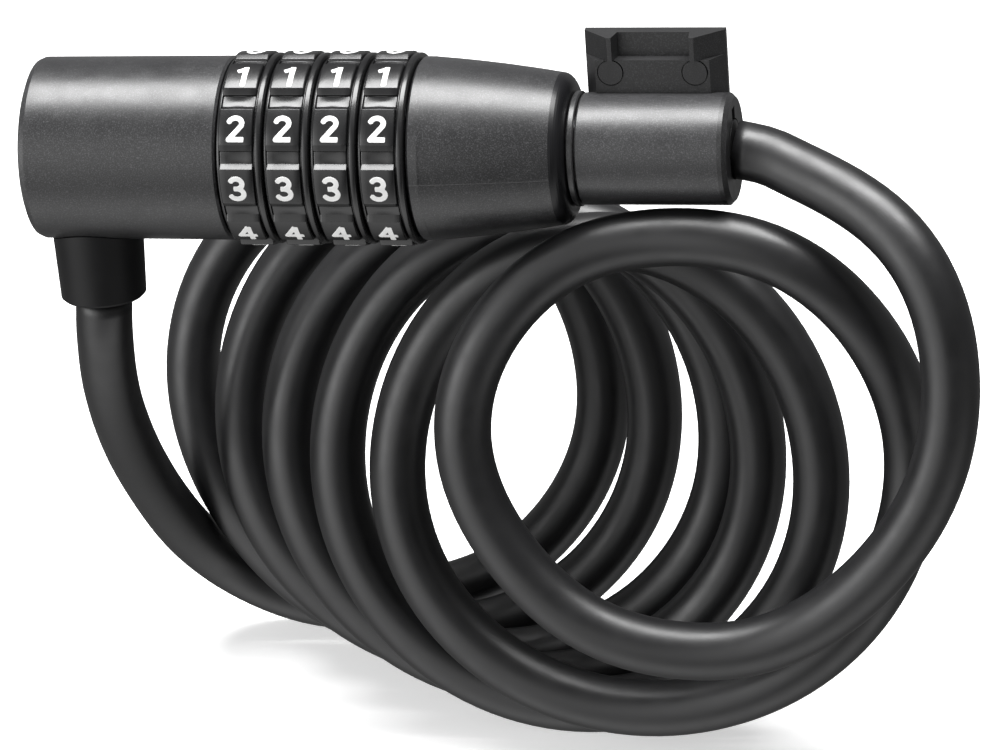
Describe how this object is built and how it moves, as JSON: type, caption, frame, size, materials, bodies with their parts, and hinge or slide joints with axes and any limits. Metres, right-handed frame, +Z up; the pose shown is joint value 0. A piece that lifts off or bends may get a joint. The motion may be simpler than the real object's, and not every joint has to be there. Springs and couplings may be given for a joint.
{
  "type": "cable lock",
  "caption": "Coiled cable lock: a round head with number dials and a pull-out plug, joined by one long stiff cable that stands in side-by-side turns.",
  "frame": {"origin": "on the carrier rail's top edge, straight above the middle of the carrier sleeve and of the head's axis", "axes": "+X along the head's axis towards the plug's cable end, +Y away from the viewer across the coil, +Z up"},
  "size_m": [0.1744, 0.0852, 0.1385],
  "materials": {
    "cover_plastic": "satin black moulded plastic with a fine grain",
    "dial_plastic": "glossy black moulded plastic",
    "ring_metal": "satin black",
    "carrier_plastic": "satin black moulded plastic",
    "cable_skin": "satin black vinyl skin over steel rope",
    "cast_metal": "die-cast grey",
    "steel": "turned bright",
    "brass": "turned"
  },
  "bodies": {
    "lock_head": {"rear_cover": "cover_plastic", "cable_boss": "cover_plastic", "fixed_ferrule": "steel", "ferrule_pin": "steel", "fixed_rope_end": "cable_skin", "end_block": "cast_metal", "core_tube": "steel", "thrust_washer": "brass", "wave_spring": "steel", "retaining_ring": "steel", "index_spring": "steel", "nose_cover": "cover_plastic", "nose_core": "cast_metal", "nose_ring": "ring_metal", "cable_lead_plug": "cable_skin", "cable_coil": "cable_skin", "cable_lead_fixed": "cable_skin"},
    "dial_1": {"number_dial_1": "dial_plastic", "code_wheel_1": "brass"},
    "dial_2": {"number_dial_2": "dial_plastic", "code_wheel_2": "brass"},
    "dial_3": {"number_dial_3": "dial_plastic", "code_wheel_3": "brass"},
    "dial_4": {"number_dial_4": "dial_plastic", "code_wheel_4": "brass"},
    "plug": {"locking_bolt": "steel", "plug_collar": "cover_plastic", "plug_ferrule": "steel", "plug_pin": "steel", "plug_rope_end": "cable_skin"},
    "carrier": {"carrier_sleeve": "carrier_plastic", "sleeve_end_cap": "carrier_plastic", "carrier_bracket": "carrier_plastic", "bracket_rivets": "carrier_plastic"}
  },
  "joints": [
    {"name": "dial_1_turn", "type": "hinge", "parent": "lock_head", "child": "dial_1", "pos_m": [-0.0729, 0, -0.0205], "axis": [1, 0, 0], "continuous": true},
    {"name": "dial_2_turn", "type": "hinge", "parent": "lock_head", "child": "dial_2", "pos_m": [-0.0643, 0, -0.0205], "axis": [1, 0, 0], "continuous": true},
    {"name": "dial_3_turn", "type": "hinge", "parent": "lock_head", "child": "dial_3", "pos_m": [-0.0557, 0, -0.0205], "axis": [1, 0, 0], "continuous": true},
    {"name": "dial_4_turn", "type": "hinge", "parent": "lock_head", "child": "dial_4", "pos_m": [-0.0471, 0, -0.0205], "axis": [1, 0, 0], "continuous": true},
    {"name": "plug_pull", "type": "slide", "parent": "lock_head", "child": "plug", "axis": [1, 0, 0], "range_m": [0, 0.06], "deforming": ["cable_lead_plug"]},
    {"name": "carrier_swivel", "type": "hinge", "parent": "plug", "child": "carrier", "pos_m": [0, 0, -0.0205], "axis": [1, 0, 0], "range_deg": [-60, 60]}
  ]
}
